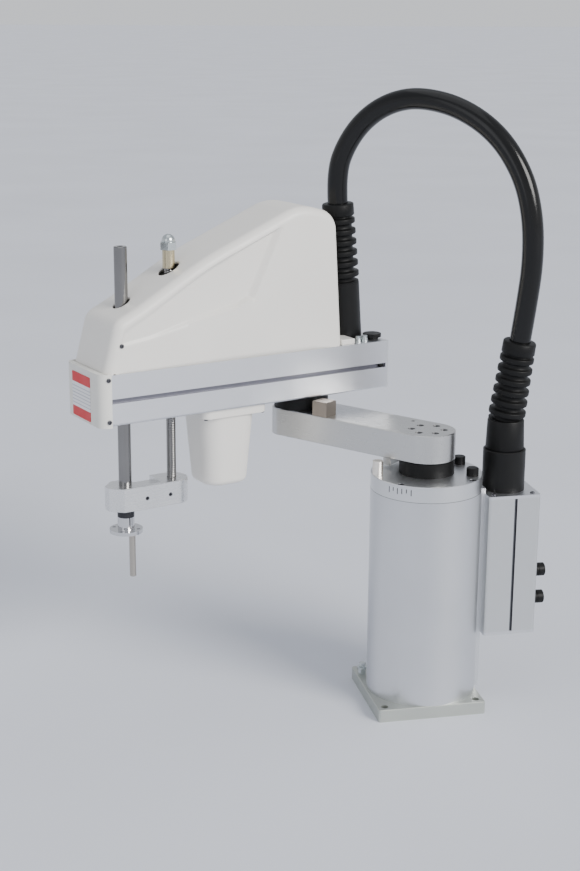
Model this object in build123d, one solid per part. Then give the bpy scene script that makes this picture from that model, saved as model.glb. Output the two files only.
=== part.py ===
from build123d import *

import os
from math import asin, cos, pi, radians, sin, tan

# A four-axis SCARA robot: a round column, two horizontal arms and a screw-driven vertical shaft.
# Millimetres, +Z up. The origin lies on the shoulder axis, on the underside of the base plate.
# +X points to the rear, where the connector box hangs on the column. The pieces of each arm are
# built in that arm's own frame, X along the arm from its inner joint, and then turned into the
# pose in which the robot is stored.

# Base plate and column
PLATE_SIDE = 138.0
PLATE_THICK = 16.0
PLATE_X = -4.0
PLATE_BORE_R = 30.0
BOLT_SPACING = 118.0
BOLT_HOLE_R = 4.5
COLUMN_R = 69.0
COLUMN_WALL = 8.0
COLUMN_TOP = 280.0
PAD_X = 71.0
PAD_HALF = 20.0
WINDOW_R = 15.0
WINDOW_Z = 200.0
CAP_TOP = 300.0
CAP_BORE_R = 30.0
COLUMN_SCREW_R = 65.0
CAP_SCREW_R = 64.0
CAP_SCREW_SEAT = 294.5
GROUND = (-65.0, 45.0)

# Connector box on the column's rear
BOX_END = 138.0
BOX_HALF = 35.0
BOX_LOW = 90.0
BOX_HIGH = 273.0
BOX_COVER = 4.0
BOX_WALL = 3.5
BOX_GROOVE_X = 106.0
BOX_SCREWS = [(79.5, -27.0), (79.5, 27.0), (129.5, -27.0), (129.5, 27.0)]
SOCKET_HEIGHTS = [124.0, 161.0]

# Shoulder
SHOULDER_RING_R = 34.0
SHOULDER_SHAFT_R = 15.0
BUMPER_R = 7.5
BUMPER_CIRCLE = 57.0
BUMPER_ANGLE = 27.0
ORIGIN_POST_X = -62.4

# First arm
ARM_1_TURN = 130.5
ARM_1_LENGTH = 195.0
ARM_1_HALF = 34.5
ARM_1_LOW = 318.5
ARM_1_HIGH = 354.0
ARM_1_TAIL = 30.0
ARM_1_CORNER = 18.0
FLANGE_SCREW_R = 20.0
FLANGE_SCREW_SEAT = 348.0

# Elbow
ELBOW_RING_R = 35.0
ELBOW_SHAFT_R = 12.0
STOP_PIN_R = 4.5
STOP_PIN_CIRCLE = 52.0
STOP_PIN_ANGLES = [0.0, -51.0]

# Second arm
ARM_2_TURN = 200.0
RAIL_REAR = -99.0
RAIL_FRONT = 293.0
RAIL_HALF = 47.5
RAIL_INNER = 41.5
RAIL_LOW = 375.0
RAIL_FLOOR = 385.0
RAIL_HIGH = 437.0
SLOT_Z = 405.0
CAP_FRONT = 308.0
CAP_REAR = -103.0
COVER_HALF = 46.0
COVER_WALL = 3.0
COVER_FRONT_SCREW = (278.0, 470.0)
PLUG = (-91.0, 27.0)
FITTINGS = [(-66.0, 31.5), (-75.0, 33.5)]

# Vertical axis
SHAFT_U = 255.0
SCREW_U = 191.0
MOTOR_U = 123.0
SHAFT_R = 8.0
SHAFT_TOP = 579.5
SCREW_R = 6.0
BLOCK_LOW = 256.0
BLOCK_HIGH = 286.0
BLOCK_HALF = 20.0
SPIGOT_R = 6.0
FLANGE_LOW = 225.0
TOOL_PIN_U = 247.0
TOOL_PIN_R = 4.0
TOOL_PIN_LOW = 165.0
PULLEY_LOW = 414.0
PULLEY_HIGH = 432.0
NUT_PULLEY_R = 20.0
MOTOR_PULLEY_R = 12.0

# Hose: its route from the base boot's top to the arm boot's top, and the ribbed boots
HOSE_R = 13.0
HOSE_ROUTE = [
    (111.0, -8.4, 462.0),
    (115.4, -12.5, 505.0),
    (119.8, -16.6, 560.0),
    (117.6, -14.5, 615.0),
    (106.6, -4.3, 664.0),
    (81.7, 18.8, 709.0),
    (45.4, 52.5, 738.0),
    (6.1, 88.8, 748.0),
    (-23.7, 116.2, 741.0),
    (-49.6, 140.4, 720.0),
    (-68.7, 158.2, 688.0),
    (-80.1, 165.2, 651.0),
    (-77.3, 166.2, 612.0),
]
HOSE_SPLIT = 6
BOOT_FOOT_Z = 362.0
BOOT_RIBS = 6
BOOT_PITCH = 13.7
BOOT_COLLAR = 18.0
ARM_GLAND_U = -66.0

# Clearances
RUNNING = 0.05
SCREW_GAP = 0.1

BASE = Pos(0, 0, 0)
ARM_1 = Rot(0, 0, ARM_1_TURN)
ELBOW = ARM_1 * Pos(ARM_1_LENGTH, 0, 0)
ARM_2 = Pos(*ELBOW.position) * Rot(0, 0, ARM_2_TURN)

os.makedirs("parts", exist_ok=True)


def save(node, place, *solids):
    """Write the solids, moved to their place, as one node."""
    pieces = []
    for solid in solids:
        pieces += (place * solid).solids()
    shape = pieces[0] if len(pieces) == 1 else Compound(children=pieces)
    export_step(shape, f"parts/{node}.step")
    print(node, len(pieces), round(shape.volume))


def rod(radius, low, high, x=0.0, y=0.0):
    """An upright cylinder between two heights."""
    return Pos(x, y, (low + high) / 2) * Cylinder(radius, high - low)


def tube(outer, inner, low, high, x=0.0, y=0.0):
    """An upright tube between two heights."""
    return rod(outer, low, high, x, y) - rod(inner, low - 1, high + 1, x, y)


def block(x0, x1, y0, y1, z0, z1):
    """A box given by its faces."""
    return Pos((x0 + x1) / 2, (y0 + y1) / 2, (z0 + z1) / 2) * Box(x1 - x0, y1 - y0, z1 - z0)


def soft_block(x0, x1, y0, y1, z0, z1, radius):
    """A box with rounded upright corners."""
    plan = Pos((x0 + x1) / 2, (y0 + y1) / 2, z0) * RectangleRounded(x1 - x0, y1 - y0, radius)
    return extrude(plan, z1 - z0)


def turned(*profile):
    """A solid of revolution about Z from (radius, height) points."""
    return revolve(make_face(Plane.XZ * Polyline(*profile, close=True)), Axis.Z)


def ring_points(count, radius, first):
    """Points on a circle about the Z axis, the first at the given angle."""
    angles = [radians(first + 360.0 * k / count) for k in range(count)]
    return [(radius * cos(a), radius * sin(a)) for a in angles]


def drill(body, radius, low, high, places):
    """Upright holes through the body between two heights."""
    for x, y in places:
        body -= rod(radius, low, high, x, y)
    return body


def cap_screw(size, length):
    """A socket head cap screw that points down, its head standing on z = 0."""
    head = rod(0.84 * size, 0, size)
    head = chamfer(head.edges().group_by(Axis.Z)[-1], 0.1 * size)
    head -= extrude(Pos(0, 0, 0.5 * size) * RegularPolygon(0.46 * size, 6), size)
    return head + rod(size / 2, -length, 0)


def button_screw(length):
    """An M3 button head screw that points down, its head standing on z = 0."""
    head = rod(2.75, 0, 1.6)
    head = fillet(head.edges().group_by(Axis.Z)[-1], 0.9)
    head -= extrude(Pos(0, 0, 0.7) * RegularPolygon(1.1, 6), 2.0)
    return head + rod(1.5, -length, 0)


# ---------------------------------------------------------------- base


def base_plate():
    half = PLATE_SIDE / 2
    reach = BOLT_SPACING / 2
    plate = soft_block(PLATE_X - half, PLATE_X + half, -half, half, 0, PLATE_THICK, 3.0)
    plate = chamfer(plate.faces().sort_by(Axis.Z)[-1].edges(), 0.8)
    plate -= rod(PLATE_BORE_R, -1, PLATE_THICK + 1)
    bolts = [(PLATE_X + sx * reach, sy * reach) for sx in (-1, 1) for sy in (-1, 1)]
    plate = drill(plate, BOLT_HOLE_R, -1, PLATE_THICK + 1, bolts)
    screws = ring_points(4, COLUMN_SCREW_R, 45.0)
    plate = drill(plate, 2.75, -1, PLATE_THICK + 1, screws)
    plate = drill(plate, 4.6, -1, 6.0, screws)
    plate = drill(plate, 2.5 + SCREW_GAP, 4.0, PLATE_THICK + 1, [GROUND])
    save("base_plate", BASE, plate)


def base_screws():
    """The same M5 screws hold the column to the plate from beneath and the cap from above."""
    low = ring_points(4, COLUMN_SCREW_R, 45.0)
    high = ring_points(4, CAP_SCREW_R, 45.0)
    screws = [Pos(x, y, 6.0) * Rot(180, 0, 0) * cap_screw(5.0, 24.0) for x, y in low]
    screws += [Pos(x, y, CAP_SCREW_SEAT) * cap_screw(5.0, 24.0) for x, y in high]
    save("base_screws", BASE, *screws)


def ground_terminal():
    """The earth terminal: a hexagon post on the plate's rear corner, and the screw in its top."""
    x, y = GROUND
    post_top = PLATE_THICK + 8.0
    post = extrude(Pos(x, y, PLATE_THICK) * RegularPolygon(5.0, 6), post_top - PLATE_THICK)
    post += rod(2.5, PLATE_THICK - 10.0, PLATE_THICK, x, y)
    save("ground_post", BASE, post - rod(2.1, post_top - 6.0, post_top + 1, x, y))
    screw = rod(6.5, post_top, post_top + 1.5, x, y) + rod(2.0, post_top - 5.0, post_top, x, y)
    head = extrude(Pos(x, y, post_top + 1.5) * RegularPolygon(4.6, 6), 5.5)
    save("ground_screw", BASE, screw + head)


def column():
    inner = COLUMN_R - COLUMN_WALL
    shell = rod(COLUMN_R, PLATE_THICK, COLUMN_TOP)
    shell += block(60.0, PAD_X, -PAD_HALF, PAD_HALF, PLATE_THICK, COLUMN_TOP)
    shell -= rod(inner, PLATE_THICK - 1, COLUMN_TOP + 1)
    shell -= Pos(65.0, 0, WINDOW_Z) * Rot(0, 90, 0) * Cylinder(WINDOW_R, 20.0)
    low = ring_points(4, COLUMN_SCREW_R, 45.0)
    shell = drill(shell, 2.5 + SCREW_GAP, PLATE_THICK - 1, PLATE_THICK + 16.0, low)
    high = ring_points(4, CAP_SCREW_R, 45.0)
    shell = drill(shell, 2.5 + SCREW_GAP, COLUMN_TOP - 12.0, COLUMN_TOP + 1, high)
    save("column", BASE, shell)


def column_cap():
    cap = rod(COLUMN_R, COLUMN_TOP, CAP_TOP)
    cap = chamfer(cap.edges().group_by(Axis.Z)[-1], 0.5)
    cap += rod(COLUMN_R - COLUMN_WALL - 0.2, COLUMN_TOP - 8.0, COLUMN_TOP)
    cap -= rod(CAP_BORE_R, COLUMN_TOP - 9.0, CAP_TOP + 1)
    screws = ring_points(4, CAP_SCREW_R, 45.0)
    cap = drill(cap, 2.5 + SCREW_GAP, COLUMN_TOP - 9.0, CAP_TOP + 1, screws)
    cap = drill(cap, 4.4, CAP_SCREW_SEAT, CAP_TOP + 1, screws)
    for step in range(6):
        angle = 213.0 + 5.0 * step
        tick = block(COLUMN_R - 0.5, COLUMN_R + 1, -0.3, 0.3, CAP_TOP - 10.0, CAP_TOP - 1.5)
        cap -= Rot(0, 0, angle) * tick
    save("column_cap", BASE, cap)


def shoulder_base_side():
    ring = tube(SHOULDER_RING_R, 27.0, CAP_TOP, ARM_1_LOW - 0.6)
    save("j1_seal_ring", BASE, ring)
    bore = SHOULDER_SHAFT_R + RUNNING
    save("j1_reducer", BASE, tube(CAP_BORE_R, bore, 250.0, CAP_TOP - 0.5))
    save("j1_motor", BASE, block(-28, 28, -28, 28, 160.0, 250.0))
    bumpers = []
    for angle in (-BUMPER_ANGLE, BUMPER_ANGLE):
        x = BUMPER_CIRCLE * cos(radians(angle))
        y = BUMPER_CIRCLE * sin(radians(angle))
        bumper = rod(BUMPER_R, CAP_TOP, CAP_TOP + 10.0, x, y)
        bumpers.append(chamfer(bumper.edges().group_by(Axis.Z)[-1], 0.8))
    save("j1_stop_bumpers", BASE, *bumpers)
    post = rod(6.5, CAP_TOP, CAP_TOP + 17.5, ORIGIN_POST_X, 0)
    post = chamfer(post.edges().group_by(Axis.Z)[-1], 0.6)
    post -= tube(8.0, 5.9, CAP_TOP + 8.0, CAP_TOP + 9.0, ORIGIN_POST_X, 0)
    save("origin_post", BASE, post)


def connector_box():
    low = BOX_LOW + BOX_COVER
    high = BOX_HIGH - BOX_COVER
    body = soft_block(PAD_X, BOX_END, -BOX_HALF, BOX_HALF, low, high, 3.0)
    inner = block(
        PAD_X + BOX_WALL,
        BOX_END - BOX_WALL,
        -BOX_HALF + BOX_WALL,
        BOX_HALF - BOX_WALL,
        low - 1,
        high + 1,
    )
    for x, y in BOX_SCREWS:
        inner -= block(x - 6.0, x + 6.0, y - 6.0, y + 6.0, low - 2, high + 2)
    body -= inner
    body = drill(body, 1.5 + SCREW_GAP, low - 1, low + 12.0, BOX_SCREWS)
    body = drill(body, 1.5 + SCREW_GAP, high - 12.0, high + 1, BOX_SCREWS)
    for side in (-1, 1):
        y = side * BOX_HALF
        body -= block(BOX_GROOVE_X - 1.5, BOX_GROOVE_X + 1.5, y - 2.0, y + 2.0, low - 1, high + 1)
    body -= Pos(PAD_X, 0, WINDOW_Z) * Rot(0, 90, 0) * Cylinder(WINDOW_R, 12.0)
    for z in SOCKET_HEIGHTS:
        body -= Pos(BOX_END, 0, z) * Rot(0, 90, 0) * Cylinder(6.5, 12.0)
    save("connector_box", BASE, body)


def connector_box_covers():
    foot = base_boot_foot()
    floor = soft_block(PAD_X, BOX_END, -BOX_HALF, BOX_HALF, BOX_LOW, BOX_LOW + BOX_COVER, 3.0)
    save("connector_box_floor", BASE, drill(floor, 1.6, BOX_LOW - 1, BOX_HIGH, BOX_SCREWS))
    lid = soft_block(PAD_X, BOX_END, -BOX_HALF, BOX_HALF, BOX_HIGH - BOX_COVER, BOX_HIGH, 3.0)
    lid = drill(lid, 1.6, BOX_LOW, BOX_HIGH + 1, BOX_SCREWS)
    lid -= rod(15.0, BOX_LOW, BOX_HIGH + 1, foot.X, foot.Y)
    save("connector_box_lid", BASE, lid)
    screws = [Pos(x, y, BOX_HIGH) * button_screw(14.0) for x, y in BOX_SCREWS]
    screws += [Pos(x, y, BOX_LOW) * Rot(180, 0, 0) * button_screw(14.0) for x, y in BOX_SCREWS]
    save("connector_box_screws", BASE, *screws)


def cable_sockets():
    """Two identical round sockets, one above the other on the box's rear face."""
    socket = rod(6.4, -6.0, 0) + rod(8.5, 0, 22.0)
    socket = chamfer(socket.edges().group_by(Axis.Z)[-1], 0.6)
    socket -= tube(9.0, 7.9, 12.0, 14.0)
    socket -= rod(6.0, 14.0, 23.0)
    for x, y in ring_points(4, 3.0, 45.0):
        socket += rod(0.8, 13.0, 20.0, x, y)
    save("cable_sockets", BASE, *[Pos(BOX_END, 0, z) * Rot(0, 90, 0) * socket for z in SOCKET_HEIGHTS])


# ---------------------------------------------------------------- hose, glands and boots


def foot_below(end, beside, height):
    """Where the line of the hose's end run, carried on past that end, reaches a height."""
    run = Vector(*beside) - Vector(*end)
    return Vector(*end) - run * ((end[2] - height) / run.Z)


def base_boot_foot():
    """Where the leaning part of the base boot starts."""
    return foot_below(HOSE_ROUTE[0], HOSE_ROUTE[1], BOOT_FOOT_Z)


def ribbed_boot(length):
    """A ribbed rubber boot on z = 0, with a smooth collar at its top."""
    low = length - BOOT_COLLAR - BOOT_RIBS * BOOT_PITCH
    profile = [(0, 0), (22.0, 0), (22.0, low)]
    for k in range(BOOT_RIBS):
        z = low + BOOT_PITCH * k
        rib = 23.0 - 2.0 * k / (BOOT_RIBS - 1)
        profile += [(17.5, z + 0.12 * BOOT_PITCH), (17.5, z + 0.38 * BOOT_PITCH)]
        profile += [(rib, z + 0.5 * BOOT_PITCH), (rib, z + 0.88 * BOOT_PITCH)]
    top = length - BOOT_COLLAR
    profile += [(17.5, top + 1.0), (20.5, top + 3.0), (20.0, length), (0, length)]
    return turned(*profile)


def base_gland():
    foot = base_boot_foot()
    top = Vector(*HOSE_ROUTE[0])
    x, y = foot.X, foot.Y
    nut = rod(26.5, BOX_HIGH, 325.0, x, y)
    nut = chamfer(nut.edges().group_by(Axis.Z)[-1], 1.0)
    nut += rod(14.9, BOX_HIGH - 10.0, BOX_HIGH, x, y)
    save("base_gland_nut", BASE, nut)
    sleeve = Pos(x, y, 0) * turned((0, 325.0), (24.0, 325.0), (22.5, 362.0), (0, 362.0))
    ribbed = Plane(origin=foot, z_dir=top - foot) * ribbed_boot((top - foot).length)
    save("base_gland_boot", BASE, sleeve + ribbed)


def arm_gland():
    """A smooth leaning nut on the rear deck, then the ribbed boot up to the hose's end."""
    foot = foot_below(HOSE_ROUTE[-1], HOSE_ROUTE[-2], RAIL_HIGH)
    top = Vector(*HOSE_ROUTE[-1])
    axis = Plane(origin=foot, z_dir=top - foot)
    length = (top - foot).length
    boot_length = BOOT_COLLAR + BOOT_RIBS * BOOT_PITCH + 2.0
    nut = axis * rod(22.5, -4.0, length - boot_length)
    nut -= ARM_2 * block(-120, -30, -40, 40, RAIL_HIGH - 20, RAIL_HIGH)
    save("arm_gland_nut", BASE, nut)
    save("arm_gland_boot", BASE, axis * Pos(0, 0, length - boot_length) * ribbed_boot(boot_length))


def bend_radii(points):
    """The radius of the arc at each inner point of a route, as large as its two runs allow."""
    runs = [after - before for before, after in zip(points, points[1:])]
    radii = []
    for first, second in zip(runs, runs[1:]):
        half_turn = radians(first.get_angle(second)) / 2
        radii.append(0.45 * min(first.length, second.length) / tan(half_turn))
    return radii


def hose_part(node, points, radii):
    """A round hose along straight runs joined by tangent arcs."""
    path = FilletPolyline(*points, radius=radii)
    hose = sweep(Plane(origin=points[0], z_dir=points[1] - points[0]) * Circle(HOSE_R), path=path)
    expected = pi * HOSE_R**2 * path.length
    print(node, "radii", [round(r) for r in radii], "length", round(path.length, 1))
    print(node, "volume ratio", round(hose.volume / expected, 4))
    save(node, BASE, hose)


def hose():
    """The hose is parted on the straight at its top, so that each part follows one joint."""
    points = [Vector(*p) for p in HOSE_ROUTE]
    radii = bend_radii(points)
    middle = (points[HOSE_SPLIT] + points[HOSE_SPLIT + 1]) * 0.5
    hose_part("hose_lower", points[: HOSE_SPLIT + 1] + [middle], radii[:HOSE_SPLIT])
    hose_part("hose_upper", [middle] + points[HOSE_SPLIT + 1 :], radii[HOSE_SPLIT:])


# ---------------------------------------------------------------- first arm


def shoulder_stop():
    """The lug under the arm that meets the bumpers at both ends of the shoulder's turn."""
    edge = 90.0 * tan(radians(20.0))
    wedge = make_face(Polyline((0, 0), (90, edge), (90, -edge), close=True))
    return tube(55.5, 46.0, 303.0, ARM_1_LOW) & extrude(Pos(0, 0, 290.0) * wedge, 40)


def arm_1():
    far = ARM_1_LENGTH + ARM_1_TAIL
    body = block(0, far, -ARM_1_HALF, ARM_1_HALF, ARM_1_LOW, ARM_1_HIGH)
    body = fillet(body.edges().filter_by(Axis.Z).group_by(Axis.X)[-1], ARM_1_CORNER)
    body += rod(ARM_1_HALF, ARM_1_LOW, ARM_1_HIGH)
    levels = body.faces().sort_by(Axis.Z)
    body = chamfer(levels[0].edges() + levels[-1].edges(), 0.8)
    screws = ring_points(6, FLANGE_SCREW_R, 30.0)
    body = drill(body, 2.75, ARM_1_LOW - 1, ARM_1_HIGH + 1, screws)
    body = drill(body, 4.6, FLANGE_SCREW_SEAT, ARM_1_HIGH + 1, screws)
    body = drill(body, 2.5, ARM_1_HIGH - 8.0, ARM_1_HIGH + 1, [(36.0, -22.0)])
    dimple = Pos(ARM_1_HALF, 0, 322.0) * Rot(0, 90, 0) * Cylinder(1.0, 2.0)
    body -= Rot(0, 0, 131.5) * dimple
    body -= rod(20.0, 326.0, ARM_1_HIGH + 1, ARM_1_LENGTH, 0)
    save("arm_1", ARM_1, body + shoulder_stop())
    fasteners = [Pos(x, y, FLANGE_SCREW_SEAT) * cap_screw(5.0, 42.0) for x, y in screws]
    save("shoulder_screws", ARM_1, *fasteners)


def shoulder_arm_side():
    flange = rod(26.0, 300.6, ARM_1_LOW) + rod(SHOULDER_SHAFT_R, 262.0, 300.6)
    screws = ring_points(6, FLANGE_SCREW_R, 30.0)
    save("shoulder_flange", ARM_1, drill(flange, 2.5 + SCREW_GAP, 304.0, ARM_1_LOW + 1, screws))


def elbow():
    bearing = tube(20.0, ELBOW_SHAFT_R + RUNNING, 326.0, 353.0)
    save("elbow_bearing", ELBOW, bearing)
    save("elbow_seal_ring", ELBOW, tube(ELBOW_RING_R, 24.0, ARM_1_HIGH, RAIL_LOW - 0.6))
    stop = block(129.0, 151.0, 14.0, ARM_1_HALF, ARM_1_HIGH, 373.0)
    save("elbow_stop_block", ARM_1, chamfer(stop.faces().sort_by(Axis.Z)[-1].edges(), 0.8))
    save("elbow_hub", ARM_2, rod(22.0, 355.0, RAIL_LOW) + rod(ELBOW_SHAFT_R, 327.0, 355.0))
    pins = []
    for angle in STOP_PIN_ANGLES:
        x = STOP_PIN_CIRCLE * cos(radians(angle))
        y = STOP_PIN_CIRCLE * sin(radians(angle))
        pins.append(rod(STOP_PIN_R, 366.0, RAIL_LOW, x, y))
    save("elbow_stop_pins", ARM_2, *pins)
    save("elbow_reducer", ARM_2, rod(33.0, RAIL_FLOOR, 420.0) + rod(11.9, RAIL_LOW, RAIL_FLOOR))
    save("elbow_motor", ARM_2, block(-22, 22, -22, 22, 420.0, 520.0))


# ---------------------------------------------------------------- second arm


def arm_2_frame():
    rail = block(RAIL_REAR, RAIL_FRONT, -RAIL_HALF, RAIL_HALF, RAIL_LOW, RAIL_HIGH)
    rail = fillet(rail.edges().filter_by(Axis.X).group_by(Axis.Z)[0], 3.0)
    ends = (RAIL_REAR - 1, RAIL_FRONT + 1)
    rail -= block(*ends, -RAIL_INNER, RAIL_INNER, RAIL_FLOOR, RAIL_HIGH + 1)
    for side in (-1, 1):
        v = side * RAIL_HALF
        rail -= block(*ends, v - 3.5, v + 3.5, SLOT_Z - 2.5, SLOT_Z + 2.5)
    for radius, u in ((12.0, 0.0), (8.0, MOTOR_U), (15.0, SCREW_U), (14.0, SHAFT_U)):
        rail -= rod(radius, RAIL_LOW - 1, RAIL_FLOOR + 1, u, 0)
    for u, v in motor_cover_screws():
        rail -= rod(1.5 + SCREW_GAP, RAIL_LOW - 1, RAIL_LOW + 8.0, u, v)
    save("arm_2_frame", ARM_2, rail)


def motor_cover_screws():
    """The four corners of the motor cover's lip."""
    return [(u, v) for u in (81.0, 161.0) for v in (-36.0, 36.0)]


def front_cap():
    low, high, half = 373.5, 438.5, 48.5
    cap = block(RAIL_FRONT, CAP_FRONT, -half, half, low, high)
    cap = fillet(cap.edges().filter_by(Axis.Z).group_by(Axis.X)[-1], 12.0)
    cap -= block(RAIL_FRONT - 1, 300.4, -COVER_HALF - 0.4, COVER_HALF + 0.4, RAIL_HIGH, high + 1)
    for side in (-1, 1):
        for z in (381.0, 431.5):
            cap -= Pos(297.0, side * half, z) * Rot(90, 0, 0) * Cylinder(1.5 + SCREW_GAP, 14.0)
    save("front_cap", ARM_2, cap)
    label = Plane(origin=(CAP_FRONT, -4.0, 403.5), z_dir=(1, 0, 0)) * RectangleRounded(54.0, 49.0, 1.5)
    save("front_label", ARM_2, extrude(label, 0.6))


def rear_end():
    cap = block(CAP_REAR, RAIL_REAR, -RAIL_HALF, RAIL_HALF, RAIL_LOW, RAIL_HIGH)
    cap = fillet(cap.edges().filter_by(Axis.X).group_by(Axis.Z)[0], 3.0)
    for v, z in rear_cap_screws():
        cap -= Pos(CAP_REAR, v, z) * Rot(0, 90, 0) * Cylinder(1.5 + SCREW_GAP, 20.0)
    save("rear_cap", ARM_2, cap)
    deck = block(RAIL_REAR, -33.0, -RAIL_INNER, RAIL_INNER, 432.0, RAIL_HIGH)
    deck = drill(deck, 3.0, 431.0, RAIL_HIGH + 1, FITTINGS)
    deck -= rod(6.1, 431.0, RAIL_HIGH + 1, *PLUG)
    save("rear_deck", ARM_2, deck)
    plug = rod(12.0, 440.0, 444.5, *PLUG)
    plug = fillet(plug.edges().group_by(Axis.Z)[-1], 1.0)
    plug += rod(8.0, RAIL_HIGH, 440.0, *PLUG) + rod(6.0, 432.0, RAIL_HIGH, *PLUG)
    save("rear_plug", ARM_2, plug)
    fittings = []
    for u, v in FITTINGS:
        body = rod(4.3, RAIL_HIGH, 441.0, u, v) + rod(3.6, 441.0, 444.0, u, v)
        fittings.append(body + rod(2.9, 433.0, RAIL_HIGH, u, v) - rod(1.8, 432.0, 445.0, u, v))
    save("air_fittings", ARM_2, *fittings)


def rear_cap_screws():
    """Places (v, z) on the rear cap, over the frame's side walls and floor."""
    return [(-30.0, 380.0), (30.0, 380.0)]


def cover_outline():
    """The cover seen from the side: a hump over the elbow, a long slope and a rounded nose."""
    points = [
        (-34.0, RAIL_HIGH),
        (-23.0, 606.0),
        (30.0, 620.0),
        (165.0, 563.0),
        (254.0, 512.0),
        (284.0, 497.0),
        (300.0, RAIL_HIGH),
    ]
    line = FilletPolyline(*points, radius=[28.0, 60.0, 400.0, 60.0, 20.0])
    return make_face(Plane.XZ * (line + Line(points[-1], points[0])))


def long_edges(solid, half):
    """The side rims of an extruded outline, without its open underside."""
    rims = solid.edges().filter_by(lambda e: abs(abs(e.center().Y) - half) < 0.01)
    return rims.filter_by(lambda e: e.center().Z > RAIL_HIGH + 5.0)


def top_cover():
    outline = cover_outline()
    shell = extrude(outline, COVER_HALF, both=True)
    shell = fillet(long_edges(shell, COVER_HALF), 12.0)
    hollow = extrude(offset(outline, -COVER_WALL, kind=Kind.INTERSECTION), COVER_HALF - COVER_WALL, both=True)
    hollow = fillet(long_edges(hollow, COVER_HALF - COVER_WALL), 9.0)
    shell -= hollow
    shell -= block(-30.5, 296.0, -43.0, 43.0, RAIL_HIGH - 1, RAIL_HIGH + 3.5)
    lip = block(-53.0, -32.0, -44.0, 44.0, RAIL_HIGH, 444.0)
    shell += lip - rod(23.8, RAIL_HIGH - 1, 445.0, ARM_GLAND_U, 0) - fitting_relief()
    shell -= rod(10.5, 450.0, 700.0, SHAFT_U, 0)
    shell -= rod(13.0, 450.0, 700.0, SCREW_U, 0)
    u, z = COVER_FRONT_SCREW
    for side in (-1, 1):
        shell -= Pos(u, side * COVER_HALF, z) * Rot(90, 0, 0) * Cylinder(1.5 + SCREW_GAP, 14.0)
    save("top_cover", ARM_2, shell)


def fitting_relief():
    """Room for the forward air fitting beside the cover's rear lip."""
    u, v = FITTINGS[0]
    return rod(5.5, RAIL_HIGH - 1, 445.0, u, v)


def motor_cover():
    lip_low = 364.0
    lip = soft_block(76.0, 166.0, -42.0, 42.0, lip_low, RAIL_LOW, 10.0)
    wide = Pos(MOTOR_U, 0, lip_low) * RectangleRounded(76.0, 76.0, 25.0)
    narrow = Pos(MOTOR_U, 0, 272.0) * RectangleRounded(63.0, 63.0, 22.0)
    cup = loft([narrow, wide])
    cup = fillet(cup.faces().sort_by(Axis.Z)[0].edges(), 8.0)
    inner_wide = Pos(MOTOR_U, 0, RAIL_LOW + 1) * RectangleRounded(70.0, 70.0, 22.0)
    inner_narrow = Pos(MOTOR_U, 0, 275.0) * RectangleRounded(57.0, 57.0, 19.0)
    hollow = fillet(loft([inner_narrow, inner_wide]).faces().sort_by(Axis.Z)[0].edges(), 5.0)
    cover = lip + cup - hollow
    save("motor_cover", ARM_2, drill(cover, 1.6, lip_low - 1, RAIL_LOW + 1, motor_cover_screws()))


def arm_2_screws():
    """All the M3 button head screws that hold the second arm's covers and end caps."""
    screws = []
    u, z = COVER_FRONT_SCREW
    places = [(297.0, 48.5, 381.0), (297.0, 48.5, 431.5), (u, COVER_HALF, z)]
    for u, v, z in places:
        for side in (-1, 1):
            screws.append(Pos(u, side * v, z) * Rot(-90 * side, 0, 0) * button_screw(6.0))
    for u, v in motor_cover_screws():
        screws.append(Pos(u, v, 364.0) * Rot(180, 0, 0) * button_screw(18.0))
    for v, z in rear_cap_screws():
        screws.append(Pos(CAP_REAR, v, z) * Rot(0, -90, 0) * button_screw(3.5))
    save("arm_2_screws", ARM_2, *screws)


# ---------------------------------------------------------------- vertical drive


def z_drive_housings():
    housing = block(168.0, 274.0, -30.0, 30.0, RAIL_FLOOR, 402.0)
    housing += block(236.0, 274.0, -30.0, 30.0, 402.0, 435.0)
    housing -= rod(19.0, RAIL_FLOOR - 1, 403.0, SCREW_U, 0)
    housing -= rod(14.0, RAIL_FLOOR - 1, 436.0, SHAFT_U, 0)
    save("z_housing", ARM_2, housing)
    save("nut_bearing", ARM_2, tube(19.0, 13.0 + RUNNING, RAIL_FLOOR, 400.0, SCREW_U, 0))
    save("shaft_bush", ARM_2, tube(14.0, SHAFT_R + 0.03, RAIL_LOW, 440.0, SHAFT_U, 0))
    motor = block(MOTOR_U - 21, MOTOR_U + 21, -21, 21, 300.0, RAIL_LOW)
    motor = chamfer(motor.edges().filter_by(Axis.Z), 3.0)
    save("z_motor", ARM_2, motor - rod(2.5 + RUNNING, 355.0, RAIL_LOW + 1, MOTOR_U, 0))


def pulley(radius, u):
    """A flanged belt pulley."""
    wheel = rod(radius, PULLEY_LOW, PULLEY_HIGH, u, 0)
    wheel += rod(radius + 2.0, PULLEY_LOW, PULLEY_LOW + 1.5, u, 0)
    return wheel + rod(radius + 2.0, PULLEY_HIGH - 1.5, PULLEY_HIGH, u, 0)


def z_drive_wheels():
    nut = tube(13.0, SCREW_R + RUNNING, 380.0, PULLEY_HIGH, SCREW_U, 0)
    save("ball_nut", ARM_2, nut)
    wheel = pulley(NUT_PULLEY_R, SCREW_U)
    save("nut_pulley", ARM_2, wheel - rod(13.0, PULLEY_LOW - 1, PULLEY_HIGH + 1, SCREW_U, 0))
    save("motor_shaft", ARM_2, rod(2.5, 360.0, PULLEY_HIGH, MOTOR_U, 0))
    wheel = pulley(MOTOR_PULLEY_R, MOTOR_U)
    save("motor_pulley", ARM_2, wheel - rod(2.5, PULLEY_LOW - 1, PULLEY_HIGH + 1, MOTOR_U, 0))


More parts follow.
